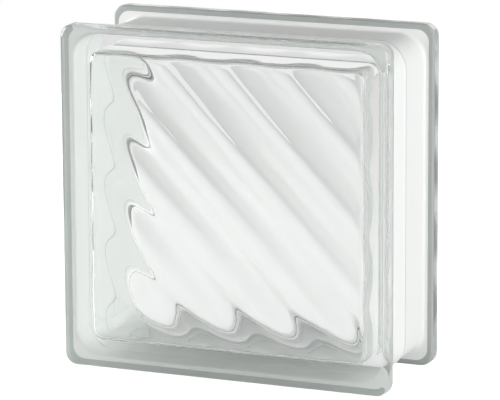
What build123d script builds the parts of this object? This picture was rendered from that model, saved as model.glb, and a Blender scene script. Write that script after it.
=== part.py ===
from build123d import *

import math
import os

# All sizes are in millimetres. X runs along the width, Y from the front pane to
# the rear pane and Z upwards. The origin is under the middle of the block, on
# the level that it stands on.

# Overall size of the block
block_width = 190.0
block_height = 190.0
block_depth = 80.0

# Rim that stands out round each pane
rim_thickness = 10.0
rim_corner_radius = 7.0
rim_face_round = 3.0
rim_back_round = 1.5

# Mortar channel between the two rims
channel_depth = 5.5
channel_corner_radius = 15.0
channel_root_radius = 3.0

# Bead where the two pressed halves were fused together
seam_width = 5.0
seam_height = 0.8
seam_inner_height = 0.6
seam_crest_round = 1.5

# Sealed hollow inside
wall_thickness = 8.5
pane_thickness = 8.0
hollow_corner_radius = 6.0
hollow_edge_radius = 3.0
hollow_draft = 1.5

# Diagonal waves pressed into the inner side of both panes
wave_pitch = 25.7
wave_height = 1.4
wave_direction = -46.0
wave_offset = -8.2

half_depth = block_depth / 2
mid_height = block_height / 2
floor_width = block_width - 2 * channel_depth
floor_height = block_height - 2 * channel_depth
mouth_width = floor_width - 2 * wall_thickness
mouth_height = floor_height - 2 * wall_thickness


def upright_plane(y):
    """Plane parallel to the panes, at depth y, with its normal towards the front."""
    return Plane(origin=(0, y, mid_height), x_dir=(1, 0, 0), z_dir=(0, -1, 0))


def slab(width, height, corner_radius, y_front, y_back):
    """Upright slab with round corners, from y_front back to y_back."""
    outline = upright_plane(y_back) * RectangleRounded(width, height, corner_radius)
    return extrude(outline, amount=y_back - y_front)


def half_ridge(width, height, corner_radius, rise):
    """Slab from the seam forwards for half a bead; its outline shrinks by rise on the way."""
    slope = math.degrees(math.atan2(rise, seam_width / 2))
    outline = upright_plane(0) * RectangleRounded(width, height, corner_radius)
    return extrude(outline, amount=seam_width / 2, taper=slope)


def edges_at_depth(shape, y):
    """Edges of a shape that lie wholly in the upright plane at depth y."""
    return shape.edges().filter_by_position(Axis.Y, y - 0.01, y + 0.01)


def rim():
    """Rim and pane of the front half, as one solid slab with rounded edges."""
    front = -half_depth
    back = front + rim_thickness
    plate = slab(block_width, block_height, rim_corner_radius, front, back)
    plate = fillet(edges_at_depth(plate, front), rim_face_round)
    return fillet(edges_at_depth(plate, back), rim_back_round)


def outer_half():
    """Outside of the front half: rim, channel floor, root between them and half the bead."""
    rim_back = -half_depth + rim_thickness
    inside_rim = -half_depth + rim_thickness / 2
    floor = slab(floor_width, floor_height, channel_corner_radius, inside_rim, 0)
    half = rim() + floor
    root = []
    for edge in edges_at_depth(half, rim_back):
        box = edge.bounding_box()
        if max(-box.min.X, box.max.X) < floor_width / 2 + 0.01:
            if box.max.Z < mid_height + floor_height / 2 + 0.01:
                if box.min.Z > mid_height - floor_height / 2 - 0.01:
                    root.append(edge)
    half = fillet(root, channel_root_radius)
    crest_width = floor_width + 2 * seam_height
    crest_height = floor_height + 2 * seam_height
    crest_radius = channel_corner_radius + seam_height
    return half + half_ridge(crest_width, crest_height, crest_radius, seam_height)


def wave_profile():
    """Section across the waves, from their crests in the pane to beyond the seam."""
    reach = math.hypot(block_width, block_height) / 2 + wave_pitch
    half_waves = math.ceil(2 * reach / wave_pitch)
    level = half_depth - pane_thickness
    wave = []
    for i in range(-half_waves, half_waves):
        start = wave_offset + i * wave_pitch / 2
        middle = start + wave_pitch / 4
        end = start + wave_pitch / 2
        swing = wave_height / 2 if i % 2 == 0 else -wave_height / 2
        wave.append(ThreePointArc((start, level), (middle, level + swing), (end, level)))
    left = wave_offset - half_waves * wave_pitch / 2
    right = wave_offset + half_waves * wave_pitch / 2
    beyond_seam = -half_depth
    corners = [(right, level), (right, beyond_seam), (left, beyond_seam), (left, level)]
    return make_face([*wave, Polyline(*corners)])


def wave_block():
    """Block that ends towards the front in the waves."""
    angle = math.radians(wave_direction)
    along = Vector(math.cos(angle), 0, math.sin(angle))
    across = Vector(-math.sin(angle), 0, math.cos(angle))
    section_plane = Plane(origin=(0, 0, mid_height), x_dir=across, z_dir=along)
    reach = math.hypot(block_width, block_height) / 2
    return extrude(section_plane * wave_profile(), amount=reach, both=True)


def hollow_half():
    """Hollow of the front half: the shape of the plunger that pressed it."""
    crest = half_depth - pane_thickness + wave_height / 2
    mouth = upright_plane(0) * RectangleRounded(mouth_width, mouth_height, hollow_corner_radius)
    plunger = extrude(mouth, amount=crest, taper=hollow_draft)
    plunger = fillet(edges_at_depth(plunger, -crest), hollow_edge_radius)
    return plunger & wave_block()


def hollow():
    """Whole sealed hollow, drawn in at the seam by the bead inside."""
    front = hollow_half()
    whole = front + mirror(front, about=Plane.XZ)
    ring_outer = slab(block_width, block_height, rim_corner_radius, -seam_width / 2, 0)
    neck_width = mouth_width - 2 * seam_inner_height
    neck_height = mouth_height - 2 * seam_inner_height
    neck_radius = hollow_corner_radius - seam_inner_height
    neck = half_ridge(neck_width, neck_height, neck_radius, -seam_inner_height)
    ring = ring_outer - neck
    whole = whole - ring
    return whole - mirror(ring, about=Plane.XZ)


def glass_block():
    """Both halves fused into one piece of glass round the hollow."""
    front = outer_half()
    body = front + mirror(front, about=Plane.XZ)
    body = fillet(edges_at_depth(body, 0), seam_crest_round)
    return body - hollow()


if __name__ == "__main__":
    os.makedirs("parts", exist_ok=True)
    block = glass_block()
    block.label = "glass_block"
    export_step(block, "parts/glass_block.step")
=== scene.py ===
import math

import bpy
from mathutils import Matrix, Vector


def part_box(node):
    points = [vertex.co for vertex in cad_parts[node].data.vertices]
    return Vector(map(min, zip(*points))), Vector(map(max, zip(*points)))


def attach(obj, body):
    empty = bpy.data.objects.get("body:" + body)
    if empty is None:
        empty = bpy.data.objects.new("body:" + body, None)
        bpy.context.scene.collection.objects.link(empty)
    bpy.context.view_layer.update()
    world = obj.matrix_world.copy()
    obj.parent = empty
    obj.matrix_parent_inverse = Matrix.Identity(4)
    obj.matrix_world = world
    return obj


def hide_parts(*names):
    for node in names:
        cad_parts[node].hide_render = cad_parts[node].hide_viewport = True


bl_info = {
    "name": "Wave-pattern glass block",
    "version": (1, 0, 0),
    "blender": (4, 5, 0),
    "location": "View3D > Sidebar > Glass Block",
    "description": "Hollow pressed-glass building block with waved panes, on a pale studio floor",
    "category": "Object",
}

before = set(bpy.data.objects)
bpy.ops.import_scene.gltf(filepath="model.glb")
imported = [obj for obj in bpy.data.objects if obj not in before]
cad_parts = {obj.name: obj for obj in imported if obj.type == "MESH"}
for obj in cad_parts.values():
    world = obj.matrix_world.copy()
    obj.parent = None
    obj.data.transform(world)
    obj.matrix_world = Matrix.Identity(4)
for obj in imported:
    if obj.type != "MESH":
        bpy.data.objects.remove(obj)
cad_low, cad_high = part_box("glass_block")
block_width = cad_high.x - cad_low.x
mid_height = (cad_low.z + cad_high.z) / 2

# Two places closer than this are the same one
SAME_PLACE = 1e-6
# Play for places that have been through a cut or a bevel
CUT_PLAY = 1e-5

# Segments across each rounding
CORNER_SEGMENTS = 10
FACE_SEGMENTS = 7
BACK_SEGMENTS = 4
ROOT_SEGMENTS = 6
HOLLOW_CORNER_SEGMENTS = 4
HOLLOW_EDGE_SEGMENTS = 12

# Cuts across each straight side of the hollow, whose parts are then halved once more
HOLLOW_CUTS = 69

# The middle of a rim's round corner lies just less than this share of its radius inwards
CORNER_SHARE = 0.3
# A point this share of the painted-shade margin below the rim counts as past the margin
MARGIN_SHARE = 0.9
# An edge this close in line with the way outwards from the middle runs across an outline
CROSSING = 0.75

# Loops cut for the fused bead, as shares of half its width
SEAM_STEPS = (-1.0, -0.7, -0.35, -0.12, 0.12, 0.35, 0.7, 1.0)

# A band texture repeats after this length, measured square to its bands
BAND_LENGTH = 2 * math.pi / (10 * math.sqrt(3))

# Material numbers on the block, after the clear glass; the last is a darker coat tone that paints shade
# on the flanks' outer strip and on the seam's crest
COAT, MATT_EDGE, PAINTED_SHADE_COAT = 1, 2, 3

# Size of the floor, and how far it lies below the block so that the faces don't meet
FLOOR_SIZE = (0.9, 3.0, 1.0)
FLOOR_GAP = 0.0002
# Glow of the floor, seen straight from the camera and seen in the glass
FLOOR_GLOW = 0.85
FLOOR_GLOW_IN_GLASS = 0.33

# Grey levels of the world, from straight down (0) to straight up (1)
WORLD_LEVELS = (
    (0.0, 0.8), (0.45, 0.84), (0.5, 0.88), (0.56, 0.88), (0.675, 0.75), (0.85, 0.45), (1.0, 0.25))
# To the left and right the world keeps this share of its level. The share grows to 1 as the
# way to it turns towards Y, between these two shares of its length.
SIDE_LEVEL = 0.03
SIDE_START = 0.25
SIDE_END = 0.9

# Soft lamps: name, place and power in watts
LAMPS = (
    ("left_lamp", (-1.17, -0.25, 0.40), 20.0),
    ("right_lamp", (1.16, -0.31, 0.40), 14.5),
)
LAMP_SIZE = 0.8
LAMP_TARGET = (0, 0, 0.1)


class GlassBlockShape(bpy.types.PropertyGroup):
    """Sizes of the two pressed halves and of the hollow between them"""

    rim_thickness: bpy.props.FloatProperty(
        name="Rim thickness",
        description="Depth of each rim that stands out round a pane",
        default=0.010, min=0.004, unit="LENGTH")
    rim_corner: bpy.props.FloatProperty(
        name="Rim corner radius",
        description="Radius of the rim's four corners, seen from the front",
        default=0.007, min=0.001, unit="LENGTH")
    rim_face_round: bpy.props.FloatProperty(
        name="Face rounding",
        description="Rounding between the pane and the rim's outer edge",
        default=0.003, min=0.0005, unit="LENGTH")
    rim_back_round: bpy.props.FloatProperty(
        name="Back rounding",
        description="Rounding of the rim's edge on the side of the mortar channel",
        default=0.0015, min=0.0003, unit="LENGTH")
    channel_depth: bpy.props.FloatProperty(
        name="Channel depth",
        description="How far the mortar channel lies below the rims",
        default=0.0055, min=0.001, unit="LENGTH")
    channel_corner: bpy.props.FloatProperty(
        name="Channel corner radius",
        description="Radius of the channel floor's four corners",
        default=0.015, min=0.002, unit="LENGTH")
    channel_root: bpy.props.FloatProperty(
        name="Channel root radius",
        description="Fillet between the channel floor and the rims",
        default=0.0024, min=0.0005, unit="LENGTH")
    # Width of the flank strip below the rim's edge that gets the darker coat tone as painted shade
    painted_shade_margin: bpy.props.FloatProperty(
        name="Coat margin",
        description="Strip of the channel's flanks on which the coat is thin, from the rim's edge down",
        default=0.003, min=0.0, unit="LENGTH")
    seam_width: bpy.props.FloatProperty(
        name="Seam width",
        description="Width of the bead where the two halves were fused",
        default=0.005, min=0.001, unit="LENGTH")
    seam_height: bpy.props.FloatProperty(
        name="Seam height",
        description="Height of the fused bead above the channel floor",
        default=0.0008, min=0.0, unit="LENGTH")
    # Width of the line along the seam's crest that gets the darker coat tone as painted shade
    crest_painted_shade_width: bpy.props.FloatProperty(
        name="Crest line",
        description="Width round the seam's middle in which faces of its crest have the thin coat",
        default=0.0008, min=0.0, unit="LENGTH")
    seam_inner_height: bpy.props.FloatProperty(
        name="Inner seam height",
        description="Height of the fused bead inside the hollow",
        default=0.0006, min=0.0, unit="LENGTH")
    wall: bpy.props.FloatProperty(
        name="Wall thickness",
        description="Glass between the channel floor and the hollow, at the seam",
        default=0.0085, min=0.002, unit="LENGTH")
    pane: bpy.props.FloatProperty(
        name="Pane thickness",
        description="Mean glass thickness of each pane",
        default=0.008, min=0.002, unit="LENGTH")
    hollow_corner: bpy.props.FloatProperty(
        name="Hollow corner radius",
        description="Radius of the hollow's four corners at the seam",
        default=0.006, min=0.001, unit="LENGTH")
    hollow_edge: bpy.props.FloatProperty(
        name="Hollow edge radius",
        description="Rounding between the hollow's sides and the waved panes",
        default=0.003, min=0.001, unit="LENGTH")
    hollow_draft: bpy.props.FloatProperty(
        name="Hollow draft",
        description="Slope of the pressed sides, which here only narrows the hollow as at its panes",
        default=math.radians(1.5), min=0.0, unit="ROTATION")
    wave_pitch: bpy.props.FloatProperty(
        name="Wave pitch",
        description="Distance from one wave crest to the next, square to the waves",
        default=0.0257, min=0.005, unit="LENGTH")
    wave_height: bpy.props.FloatProperty(
        name="Wave height",
        description="Height of the waves from trough to crest",
        default=0.0014, min=0.0, unit="LENGTH")
    wave_turn: bpy.props.FloatProperty(
        name="Wave direction",
        description="Slope of the wave crests, seen from the front",
        default=math.radians(-46), unit="ROTATION")
    wave_offset: bpy.props.FloatProperty(
        name="Wave offset",
        description="Shift of the waves square to their crests",
        default=-0.0082, unit="LENGTH")
    wave_fade: bpy.props.FloatProperty(
        name="Wave fade",
        description="Width of the border in which the waves die out towards the sides",
        default=0.006, min=0.001, unit="LENGTH")
    ripple_pitch: bpy.props.FloatProperty(
        name="Ripple pitch",
        description="Mean distance between the fine ripples that run with the waves",
        default=0.012, min=0.001, unit="LENGTH")
    ripple_height: bpy.props.FloatProperty(
        name="Ripple height",
        description="Height of the fine ripples from trough to crest",
        default=0.00015, min=0.0, unit="LENGTH")
    ripple_border: bpy.props.FloatProperty(
        name="Ripple border",
        description="Width of the border along the hollow's sides that has no ripples",
        default=0.012, min=0.0, unit="LENGTH")
    ripple_fade: bpy.props.FloatProperty(
        name="Ripple fade",
        description="Distance over which the ripples grow, inwards from their border",
        default=0.02, min=0.001, unit="LENGTH")


class GlassLook(bpy.types.PropertyGroup):
    """Colour and finish of the glass"""

    tint: bpy.props.FloatVectorProperty(
        name="Glass tint",
        description="Colour that light keeps on its way in and out of the glass",
        subtype="COLOR", size=3, default=(0.98, 0.99, 0.983), min=0.0, max=1.0)
    coat_color: bpy.props.FloatVectorProperty(
        name="Channel coat",
        description="Colour of the bonding coat on the mortar channel",
        subtype="COLOR", size=3, default=(0.93, 0.94, 0.93), min=0.0, max=1.0)
    # Dark coat tone that paints shade on the flanks' outer strip and on the seam's crest, seen from
    # outside
    painted_shade_coat_color: bpy.props.FloatVectorProperty(
        name="Thin coat",
        description="Colour of the coat where it is thin, at its edge and on the seam",
        subtype="COLOR", size=3, default=(0.45, 0.48, 0.46), min=0.0, max=1.0)
    # Lighter, greener copy of the coat where it is seen through the glass: the extra lightness is
    # painted light, the green stands for the glass's tint
    inner_coat_painted_light_and_tint: bpy.props.FloatVectorProperty(
        name="Coat behind glass",
        description="Colour of the coat where it is seen through the thick glass",
        subtype="COLOR", size=3, default=(0.95, 0.982, 0.96), min=0.0, max=1.0)
    # Painted shade on the flanks' outer strip and on the seam's crest, where they are seen through the
    # glass
    painted_shade_inner_coat: bpy.props.FloatVectorProperty(
        name="Thin coat behind glass",
        description="Colour of the thin coat where it is seen through the thick glass",
        subtype="COLOR", size=3, default=(0.62, 0.67, 0.635), min=0.0, max=1.0)
    coat_clarity: bpy.props.FloatProperty(
        name="Coat translucency",
        description="Share of the light on the coat that passes through it",
        default=0.3, min=0.0, max=1.0, subtype="FACTOR")
    edge_roughness: bpy.props.FloatProperty(
        name="Edge roughness",
        description="Roughness of the rims' outer edges, as they come from the mould",
        default=0.3, min=0.0, max=1.0, subtype="FACTOR")
    refraction: bpy.props.FloatProperty(
        name="Refractive index",
        description="Refractive index of soda-lime glass",
        default=1.52, min=1.0, max=2.5)


class StudioSetup(bpy.types.PropertyGroup):
    """Floor and camera of the studio"""

    floor_color: bpy.props.FloatVectorProperty(
        name="Floor colour",
        description="Colour of the plain floor",
        subtype="COLOR", size=3, default=(0.78, 0.78, 0.78), min=0.0, max=1.0)
    camera_azimuth: bpy.props.FloatProperty(
        name="Camera azimuth",
        description="Turn of the camera round the block, from its front towards +X",
        default=math.radians(23.03), unit="ROTATION")
    camera_elevation: bpy.props.FloatProperty(
        name="Camera elevation",
        description="Height of the camera above the horizon, as an angle",
        default=math.radians(12.45), unit="ROTATION")
    camera_roll: bpy.props.FloatProperty(
        name="Camera roll",
        description="Roll of the camera about its line of sight",
        default=math.radians(-0.32), unit="ROTATION")
    camera_distance: bpy.props.FloatProperty(
        name="Camera distance",
        description="Distance from the camera to the point that it looks at",
        default=1.923, unit="LENGTH")
    camera_target: bpy.props.FloatVectorProperty(
        name="Camera target",
        description="Point that the camera looks at",
        subtype="TRANSLATION", size=3, default=(-0.00026, 0.0, 0.09221))
    camera_lens: bpy.props.FloatProperty(
        name="Focal length",
        description="Focal length in millimetres on a 36 mm wide sensor",
        default=253.9, min=1.0)


def deselect_all():
    """Leave no object selected, so that an operator acts only on the new piece."""
    if bpy.context.mode != "OBJECT":
        bpy.ops.object.mode_set(mode="OBJECT")
    bpy.ops.object.select_all(action="DESELECT")


def make_active(obj):
    """Select one object alone and make it the active one."""
    deselect_all()
    obj.select_set(True)
    bpy.context.view_layer.objects.active = obj


def clear_selection(obj):
    """Leave nothing selected in the mesh, ready to pick edges or faces in code."""
    bpy.ops.object.mode_set(mode="OBJECT")
    for part in (obj.data.polygons, obj.data.edges, obj.data.vertices):
        part.foreach_set("select", [False] * len(part))


def pick_edges(obj, test):
    """Go to edit mode with those edges selected whose two ends together pass the test."""
    clear_selection(obj)
    points = obj.data.vertices
    for edge in obj.data.edges:
        first, second = (points[i].co for i in edge.vertices)
        edge.select = test(first, second)
    bpy.context.tool_settings.mesh_select_mode = (False, True, False)
    bpy.ops.object.mode_set(mode="EDIT")


def pick_faces(obj, test):
    """Go to edit mode with those faces selected that pass the test."""
    clear_selection(obj)
    for face in obj.data.polygons:
        face.select = test(face)
    bpy.context.tool_settings.mesh_select_mode = (False, False, True)
    bpy.ops.object.mode_set(mode="EDIT")


def runs_along_y(first, second):
    """Whether an edge runs from front to back."""
    return abs(first.x - second.x) < SAME_PLACE and abs(first.z - second.z) < SAME_PLACE


def runs_upright(first, second):
    """Whether an edge lies in an upright plane parallel to the panes."""
    return abs(first.y - second.y) < SAME_PLACE


def lies_at(y):
    """Test for edges in the upright plane at depth y."""
    return lambda first, second: abs(first.y - y) < SAME_PLACE and abs(second.y - y) < SAME_PLACE


def reach_from_middle(point):
    """Distance of a point from the block's middle line, measured square to the nearest side."""
    return max(abs(point.x), abs(point.z - mid_height))


def depth_below_rim(point, shape):
    """Distance of a point inwards from the rounded outline of the rims."""
    straight = block_width / 2 - shape.rim_corner
    across = abs(point.x) - straight
    up = abs(point.z - mid_height) - straight
    return shape.rim_corner - math.hypot(max(across, 0), max(up, 0)) - min(max(across, up), 0)


def crosses_outline(first, second):
    """Whether an edge runs from the channel floor to a rim instead of following an outline."""
    along = second - first
    outwards = (first + second) / 2
    outwards.y = 0
    outwards.z -= mid_height
    along.y = 0
    if along.length < 1e-9 or outwards.length < 1e-9:
        return True
    return abs(along.normalized().dot(outwards.normalized())) > CROSSING


def on_outline(first, second, inside, outside):
    """Whether an edge follows an outline that lies between two distances from the middle."""
    reach = [reach_from_middle(point) for point in (first, second)]
    if min(reach) < inside or max(reach) > outside:
        return False
    return not crosses_outline(first, second)


def bevel_selected(radius, segments):
    """Round the selected edges."""
    bpy.ops.mesh.bevel(offset=radius, offset_type="OFFSET", segments=segments, profile=0.5)


def rounded_block(name, width, y_front, y_back, radius, segments):
    """Square block along Y with its four long edges rounded."""
    deselect_all()
    middle = Vector((0, (y_front + y_back) / 2, mid_height))
    bpy.ops.mesh.primitive_cube_add(size=1, location=middle)
    block = bpy.context.active_object
    block.name = name
    block.scale = (width, y_back - y_front, width)
    bpy.ops.object.transform_apply(location=True, rotation=False, scale=True)
    pick_edges(block, runs_along_y)
    bevel_selected(radius, segments)
    bpy.ops.object.mode_set(mode="OBJECT")
    return block


def open_end(block, y):
    """Take away the flat end of a block at depth y."""
    pick_faces(
        block, lambda face: abs(face.center.y - y) < SAME_PLACE and abs(face.normal.y) > 0.99)
    bpy.ops.mesh.delete(type="ONLY_FACE")
    bpy.ops.object.mode_set(mode="OBJECT")


def shrink_loop(share, y):
    """Draw the selected loop at depth y in towards the block's middle line."""
    bpy.ops.transform.resize(value=(share, 1, share), center_override=(0, y, mid_height))


def frame_painted_shade_strip(rim, y, shape):
    """Frame the open back of a rim with the strip that gets the darker coat tone as painted shade."""
    pick_edges(rim, lies_at(y))
    bpy.ops.mesh.extrude_edges_indiv()
    shrink_loop(1 - shape.painted_shade_margin / (block_width / 2), y)
    bpy.ops.object.mode_set(mode="OBJECT")


def raise_seam(block, width, height):
    """Cut loops round the middle of a block and lift them into a rounded bead.

    Each lift follows the normals that the one before has tilted, so the crest ends up a little
    behind the middle.
    """
    for step in SEAM_STEPS:
        bpy.ops.object.mode_set(mode="EDIT")
        bpy.ops.mesh.select_all(action="SELECT")
        bpy.ops.mesh.bisect(plane_co=(0, step * width / 2, 0), plane_no=(0, 1, 0))
    for step in SEAM_STEPS[1:-1]:
        pick_edges(block, lies_at(step * width / 2))
        lift = height * (0.5 + 0.5 * math.cos(math.pi * step))
        bpy.ops.transform.shrink_fatten(value=lift)
    bpy.ops.object.mode_set(mode="OBJECT")


def open_rim(name, y_front, y_back, y_open, shape):
    """Slab of one rim and its pane, open towards the channel at depth y_open."""
    rim = rounded_block(name, block_width, y_front, y_back, shape.rim_corner, CORNER_SEGMENTS)
    open_end(rim, y_open)
    frame_painted_shade_strip(rim, y_open, shape)
    return rim


def bridge_channel(block, depths, shape):
    """Close the flanks between the channel floor and the inner edge of the painted-shade strip on each
    rim.
    """
    limit = MARGIN_SHARE * shape.painted_shade_margin
    for y in depths:
        in_plane = lies_at(y)
        pick_edges(block, lambda a, b: in_plane(a, b) and min(
            depth_below_rim(a, shape), depth_below_rim(b, shape)) > limit)
        bpy.ops.mesh.bridge_edge_loops()


def outer_skin(shape):
    """Outside of the block: two rims bridged by the channel floor, with rounded edges and a seam."""
    front, back = cad_low.y, cad_high.y
    rim_front = front + shape.rim_thickness
    rim_back = back - shape.rim_thickness
    floor_reach = block_width / 2 - shape.channel_depth
    block = open_rim("front_rim", front, rim_front, rim_front, shape)
    far = open_rim("rear_rim", rim_back, back, rim_back, shape)
    core = rounded_block(
        "channel_floor", 2 * floor_reach, rim_front, rim_back,
        shape.channel_corner, CORNER_SEGMENTS)
    open_end(core, rim_front)
    open_end(core, rim_back)
    raise_seam(core, shape.seam_width, shape.seam_height)
    make_active(block)
    far.select_set(True)
    core.select_set(True)
    bpy.ops.object.join()
    bridge_channel(block, (rim_front, rim_back), shape)
    outline = block_width / 2 - CORNER_SHARE * shape.rim_corner
    floor_edge = floor_reach + CUT_PLAY
    rounded = (
        (front, outline, block_width, shape.rim_face_round, FACE_SEGMENTS),
        (back, outline, block_width, shape.rim_face_round, FACE_SEGMENTS),
        (rim_front, outline, block_width, shape.rim_back_round, BACK_SEGMENTS),
        (rim_back, outline, block_width, shape.rim_back_round, BACK_SEGMENTS),
        (rim_front, 0.0, floor_edge, shape.channel_root, ROOT_SEGMENTS),
        (rim_back, 0.0, floor_edge, shape.channel_root, ROOT_SEGMENTS),
    )
    for y, inside, outside, radius, segments in rounded:
        in_plane = lies_at(y)
        pick_edges(block, lambda a, b: in_plane(a, b) and on_outline(a, b, inside, outside))
        bevel_selected(radius, segments)
    bpy.ops.object.mode_set(mode="OBJECT")
    return block


def depth_range(face, points, shape):
    """Least and greatest distance of a face's corners inwards from the outline of the rims."""
    depths = [depth_below_rim(points[i].co, shape) for i in face.vertices]
    return min(depths), max(depths)


def coat_channel(block, shape):
    """Give the channel its coat, with painted shade as a darker coat tone on the flanks' outer strip
    and on the seam's crest, and the rims their matt edges.
    """
    innermost = shape.channel_depth + shape.wall / 2
    channel_end = (cad_high.y - cad_low.y) / 2 - shape.rim_thickness
    points = block.data.vertices
    for face in block.data.polygons:
        nearest, farthest = depth_range(face, points, shape)
        from_seam = abs(face.center.y)
        if farthest < CUT_PLAY:
            face.material_index = MATT_EDGE
        # Painted shade: the strip of the flanks just below the rim gets the darker coat tone
        elif nearest < MARGIN_SHARE * shape.painted_shade_margin:
            if from_seam < channel_end + shape.rim_back_round:
                face.material_index = PAINTED_SHADE_COAT
        elif nearest < innermost and from_seam < channel_end + CUT_PLAY:
            # Painted shade: a thin line along the seam's crest gets the darker coat tone, the rest of
            # the channel the white coat
            face.material_index = PAINTED_SHADE_COAT if from_seam < shape.crest_painted_shade_width / 2 else COAT


def hollow_reach(shape):
    """Distance from the middle line to the hollow's sides at the seam."""
    return block_width / 2 - shape.channel_depth - shape.wall


def pane_weights(hollow, name, border, fade, shape, end):
    """Vertex group of the two panes, which grows smoothly to full over the fade past the border."""
    group = hollow.vertex_groups.new(name=name)
    reach = hollow_reach(shape)
    for point in hollow.data.vertices:
        inwards = (reach - border - reach_from_middle(point.co)) / fade
        if abs(point.co.y) > end - shape.hollow_edge and inwards > 0:
            share = min(inwards, 1.0)
            group.add([point.index], share * share * (3 - 2 * share), "REPLACE")
    return group


def press_texture(hollow, texture, guide, weights, height):
    """Displace the hollow by a texture that the guide places, as far as the weights say."""
    bpy.context.view_layer.update()
    make_active(hollow)
    bpy.ops.object.modifier_add(type="DISPLACE")
    press = hollow.modifiers[-1]
    press.texture = texture
    press.texture_coords = "OBJECT"
    press.texture_coords_object = guide
    press.vertex_group = weights.name
    press.direction = "NORMAL"
    press.strength = height
    press.mid_level = 0.5
    bpy.ops.object.modifier_apply(modifier=press.name)


def press_panes(hollow, shape, end):
    """Push the panes of the hollow in and out along the diagonal waves and their fine ripples."""
    across = Vector((-math.sin(shape.wave_turn), 0, math.cos(shape.wave_turn)))
    turn = Vector((1, 1, 1)).rotation_difference(across).to_euler()
    middle = Vector((0, 0, mid_height))
    deselect_all()
    bpy.ops.object.empty_add(location=middle + across * shape.wave_offset, rotation=turn)
    guide = bpy.context.active_object
    waves = bpy.data.textures.new("wave_bands", "WOOD")
    waves.wood_type = "BANDS"
    waves.noise_basis_2 = "SIN"
    weights = pane_weights(hollow, "waves", 0.0, shape.wave_fade, shape, end)
    guide.scale = [shape.wave_pitch / BAND_LENGTH] * 3
    press_texture(hollow, waves, guide, weights, shape.wave_height)
    ripples = bpy.data.textures.new("ripples", "WOOD")
    ripples.wood_type = "BANDNOISE"
    ripples.noise_basis_2 = "SIN"
    ripples.turbulence = 4.0
    ripples.noise_scale = 3.0
    weights = pane_weights(
        hollow, "ripples", shape.ripple_border, shape.ripple_fade, shape, end)
    guide.scale = [shape.ripple_pitch / BAND_LENGTH] * 3
    press_texture(hollow, ripples, guide, weights, shape.ripple_height)
    hollow.vertex_groups.clear()
    bpy.data.objects.remove(guide)
    bpy.data.textures.remove(waves)
    bpy.data.textures.remove(ripples)


def hollow_skin(shape):
    """Inside of the block: sides, the inner seam and finely divided panes with waves.

    The sides run straight from pane to pane, at the width that the draft leaves at the panes.
    """
    reach = hollow_reach(shape)
    end = cad_high.y - shape.pane
    hollow = rounded_block(
        "hollow", 2 * reach, -end, end, shape.hollow_corner, HOLLOW_CORNER_SEGMENTS)
    pick_edges(hollow, lambda a, b: runs_upright(a, b) and (a - b).length > reach)
    bpy.ops.mesh.subdivide(number_cuts=HOLLOW_CUTS)
    pick_edges(hollow, runs_upright)
    bpy.ops.mesh.subdivide(number_cuts=1)
    narrowing = 1 - end * math.tan(shape.hollow_draft) / reach
    for y in (-end, end):
        pick_edges(hollow, lies_at(y))
        shrink_loop(narrowing, y)
    for y in (-end, end):
        pick_edges(hollow, lies_at(y))
        bevel_selected(shape.hollow_edge, HOLLOW_EDGE_SEGMENTS)
        open_end(hollow, y)
        pick_edges(hollow, lies_at(y))
        bpy.ops.mesh.fill_grid(span=2 * (HOLLOW_CUTS + 1 + HOLLOW_CORNER_SEGMENTS))
    bpy.ops.object.mode_set(mode="OBJECT")
    raise_seam(hollow, shape.seam_width, -shape.seam_inner_height)
    press_panes(hollow, shape, end)
    bpy.ops.object.mode_set(mode="EDIT")
    bpy.ops.mesh.select_all(action="SELECT")
    bpy.ops.mesh.flip_normals()
    bpy.ops.object.mode_set(mode="OBJECT")
    return hollow


def new_material(name):
    """Material with nodes; gives it with its tree and its shader."""
    material = bpy.data.materials.new(name)
    material.use_nodes = True
    return material, material.node_tree, material.node_tree.nodes["Principled BSDF"]


def glass_material(look, name, roughness):
    """Soda-lime glass with a faint grey-green tint."""
    material, _, shader = new_material(name)
    shader.inputs["Base Color"].default_value = (*look.tint, 1)
    shader.inputs["Roughness"].default_value = roughness
    shader.inputs["IOR"].default_value = look.refraction
    shader.inputs["Transmission Weight"].default_value = 1.0
    return material


def coating_material(name, color, inner_color_painted_light_shade, clarity):
    """Bonding coat on the glass of the mortar channel, which lets part of the light through; where it
    is seen through the glass it takes a second colour from the caller, a lighter copy as painted light
    for the white coat and painted shade for the darker coat.
    """
    material, tree, shader = new_material(name)
    shader.inputs["Roughness"].default_value = 0.6
    through = tree.nodes.new("ShaderNodeBsdfTranslucent")
    side = tree.nodes.new("ShaderNodeNewGeometry")
    # Picks the colour by the side that is seen: outside the coat's own, from inside the glass the copy
    # with painted light and shade
    shown = tree.nodes.new("ShaderNodeMixRGB")
    shown.inputs["Color1"].default_value = (*color, 1)
    shown.inputs["Color2"].default_value = (*inner_color_painted_light_shade, 1)
    tree.links.new(side.outputs["Backfacing"], shown.inputs["Fac"])
    tree.links.new(shown.outputs["Color"], shader.inputs["Base Color"])
    tree.links.new(shown.outputs["Color"], through.inputs["Color"])
    blend = tree.nodes.new("ShaderNodeMixShader")
    blend.inputs["Fac"].default_value = clarity
    output = tree.nodes["Material Output"]
    tree.links.new(shader.outputs["BSDF"], blend.inputs[1])
    tree.links.new(through.outputs["BSDF"], blend.inputs[2])
    tree.links.new(blend.outputs["Shader"], output.inputs["Surface"])
    return material


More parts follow.
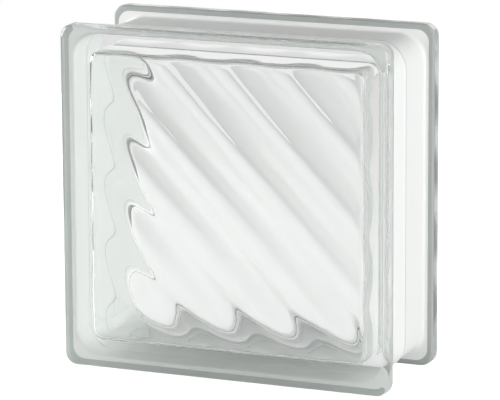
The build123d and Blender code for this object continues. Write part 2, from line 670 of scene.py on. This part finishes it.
class GLASSBLOCK_OT_glass_block(bpy.types.Operator):
    """Model the block: outer skin with rims, channel and seam, and the waved skin of its hollow"""

    bl_idname = "glassblock.glass_block"
    bl_label = "Glass block"

    def execute(self, context):
        shape = context.scene.glass_block_shape
        block = outer_skin(shape)
        hollow = hollow_skin(shape)
        make_active(block)
        hollow.select_set(True)
        bpy.ops.object.join()
        block.name = "pressed_glass"
        block.data.name = "pressed_glass"
        bpy.ops.object.shade_smooth_by_angle(angle=math.radians(40))
        look = context.scene.glass_look
        block.data.materials.clear()
        for material in (
            glass_material(look, "clear_pressed_glass", 0.0),
            # White coat; its copy seen through the glass is lighter as painted light and greener for
            # the glass's tint
            coating_material(
                "white_channel_coat", look.coat_color, look.inner_coat_painted_light_and_tint, look.coat_clarity),
            glass_material(look, "matt_edge_glass", look.edge_roughness),
            # Darker coat tone: painted shade on the flanks' outer strip and on the seam's crest
            coating_material(
                "painted_shade_channel_coat", look.painted_shade_coat_color, look.painted_shade_inner_coat,
                look.coat_clarity),
        ):
            block.data.materials.append(material)
        coat_channel(block, shape)
        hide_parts("glass_block")
        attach(block, "root")
        return {"FINISHED"}


class GLASSBLOCK_OT_studio(bpy.types.Operator):
    """Set up the pale floor, the soft light and the camera"""

    bl_idname = "glassblock.studio"
    bl_label = "Studio"

    def execute(self, context):
        studio = context.scene.glass_studio
        add_floor(studio)
        add_world(context)
        add_lamps(context)
        add_camera(studio, context)
        context.scene.view_settings.view_transform = "Standard"
        return {"FINISHED"}


def math_node(tree, operation, *values):
    """Math node on links and plain numbers; gives its output."""
    node = tree.nodes.new("ShaderNodeMath")
    node.operation = operation
    for socket, value in zip(node.inputs, values):
        if isinstance(value, float):
            socket.default_value = value
        else:
            tree.links.new(value, socket)
    return node.outputs[0]


def glow_when_seen(tree, seen_plainly, seen_in_glass):
    """Glow for rays straight from the camera, or else for rays through or off glass."""
    path = tree.nodes.new("ShaderNodeLightPath").outputs
    in_glass = math_node(tree, "MAXIMUM", path["Is Glossy Ray"], path["Is Transmission Ray"])
    dimmed = math_node(tree, "MULTIPLY", in_glass, seen_in_glass)
    return math_node(tree, "MULTIPLY_ADD", path["Is Camera Ray"], seen_plainly, dimmed)


def add_floor(studio):
    """Wide plain floor that looks white beside the block and keeps its shadow."""
    deselect_all()
    bpy.ops.mesh.primitive_plane_add(size=1.0, location=(0, 0, -FLOOR_GAP))
    floor = bpy.context.active_object
    floor.name = "studio_floor"
    floor.scale = FLOOR_SIZE
    bpy.ops.object.transform_apply(location=True, rotation=False, scale=True)
    material, tree, shader = new_material("pale_floor")
    shader.inputs["Base Color"].default_value = (*studio.floor_color, 1)
    shader.inputs["Roughness"].default_value = 0.9
    shader.inputs["Specular IOR Level"].default_value = 0.1
    shader.inputs["Emission Color"].default_value = (1, 1, 1, 1)
    glow = glow_when_seen(tree, FLOOR_GLOW, FLOOR_GLOW_IN_GLASS)
    tree.links.new(glow, shader.inputs["Emission Strength"])
    floor.data.materials.append(material)


def grey(level):
    """Opaque grey of one level."""
    return (level, level, level, 1)


def add_world(context):
    """World that is white to the camera, and lights the block from the front, back and below."""
    world = bpy.data.worlds.new("studio_world")
    context.scene.world = world
    world.use_nodes = True
    tree = world.node_tree
    place = tree.nodes.new("ShaderNodeTexCoord")
    split = tree.nodes.new("ShaderNodeSeparateXYZ")
    tree.links.new(place.outputs["Generated"], split.inputs[0])
    upwards = tree.nodes.new("ShaderNodeMapRange")
    upwards.inputs["From Min"].default_value = -1.0
    tree.links.new(split.outputs["Z"], upwards.inputs["Value"])
    height = tree.nodes.new("ShaderNodeValToRGB")
    tree.links.new(upwards.outputs["Result"], height.inputs[0])
    ramp = height.color_ramp
    ramp.interpolation = "EASE"
    ramp.elements[0].color = grey(WORLD_LEVELS[0][1])
    ramp.elements[1].color = grey(WORLD_LEVELS[-1][1])
    for position, level in WORLD_LEVELS[1:-1]:
        ramp.elements.new(position).color = grey(level)
    sides = tree.nodes.new("ShaderNodeMapRange")
    sides.interpolation_type = "SMOOTHSTEP"
    sides.inputs["From Min"].default_value = SIDE_START
    sides.inputs["From Max"].default_value = SIDE_END
    sides.inputs["To Min"].default_value = SIDE_LEVEL
    tree.links.new(math_node(tree, "ABSOLUTE", split.outputs["Y"]), sides.inputs["Value"])
    shade = tree.nodes.new("ShaderNodeVectorMath")
    shade.operation = "SCALE"
    tree.links.new(height.outputs[0], shade.inputs[0])
    tree.links.new(sides.outputs["Result"], shade.inputs["Scale"])
    path = tree.nodes.new("ShaderNodeLightPath")
    blend = tree.nodes.new("ShaderNodeMixRGB")
    blend.inputs[2].default_value = (1, 1, 1, 1)
    tree.links.new(path.outputs["Is Camera Ray"], blend.inputs[0])
    tree.links.new(shade.outputs[0], blend.inputs[1])
    background = tree.nodes["Background"]
    tree.links.new(blend.outputs[0], background.inputs["Color"])
    background.inputs["Strength"].default_value = 1.0


def add_lamps(context):
    """Large soft lamp on each side, turned towards the block."""
    for name, place, power in LAMPS:
        deselect_all()
        bpy.ops.object.light_add(type="AREA", location=place)
        lamp = context.active_object
        lamp.name = name
        lamp.data.shape = "SQUARE"
        lamp.data.size = LAMP_SIZE
        lamp.data.energy = power
        towards = Vector(LAMP_TARGET) - Vector(place)
        lamp.rotation_euler = towards.to_track_quat("-Z", "Y").to_euler()


def add_camera(studio, context):
    """Camera at the photograph's angle."""
    azimuth, elevation = studio.camera_azimuth, studio.camera_elevation
    back = Vector((
        math.sin(azimuth) * math.cos(elevation),
        -math.cos(azimuth) * math.cos(elevation),
        math.sin(elevation)))
    deselect_all()
    bpy.ops.object.camera_add()
    camera = context.active_object
    camera.name = "studio_camera"
    turn = (-back).to_track_quat("-Z", "Y").to_matrix().to_4x4()
    roll = Matrix.Rotation(studio.camera_roll, 4, "Z")
    place = Matrix.Translation(Vector(studio.camera_target) + back * studio.camera_distance)
    camera.matrix_world = place @ turn @ roll
    camera.data.sensor_width = 36.0
    camera.data.lens = studio.camera_lens
    camera.data.clip_start = 0.1
    camera.data.clip_end = 100.0
    context.scene.camera = camera


class GLASSBLOCK_PT_panel(bpy.types.Panel):
    """Sizes, glass and studio of the block"""

    bl_idname = "GLASSBLOCK_PT_panel"
    bl_label = "Glass Block"
    bl_space_type = "VIEW_3D"
    bl_region_type = "UI"
    bl_category = "Glass Block"

    def draw(self, context):
        column = self.layout.column()
        scene = context.scene
        for group in (scene.glass_block_shape, scene.glass_look, scene.glass_studio):
            for name in group.__annotations__:
                column.prop(group, name)
        column.operator(GLASSBLOCK_OT_glass_block.bl_idname)
        column.operator(GLASSBLOCK_OT_studio.bl_idname)


CLASSES = (
    GlassBlockShape,
    GlassLook,
    StudioSetup,
    GLASSBLOCK_OT_glass_block,
    GLASSBLOCK_OT_studio,
    GLASSBLOCK_PT_panel,
)


def register():
    """Register the classes and hang their values on the scene."""
    for cls in CLASSES:
        bpy.utils.register_class(cls)
    bpy.types.Scene.glass_block_shape = bpy.props.PointerProperty(type=GlassBlockShape)
    bpy.types.Scene.glass_look = bpy.props.PointerProperty(type=GlassLook)
    bpy.types.Scene.glass_studio = bpy.props.PointerProperty(type=StudioSetup)


def unregister():
    """Take the classes and their values off again."""
    del bpy.types.Scene.glass_studio
    del bpy.types.Scene.glass_look
    del bpy.types.Scene.glass_block_shape
    for cls in reversed(CLASSES):
        bpy.utils.unregister_class(cls)


def main():
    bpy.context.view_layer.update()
    register()
    bpy.ops.glassblock.glass_block()
    bpy.ops.glassblock.studio()


if __name__ == "__main__":
    main()
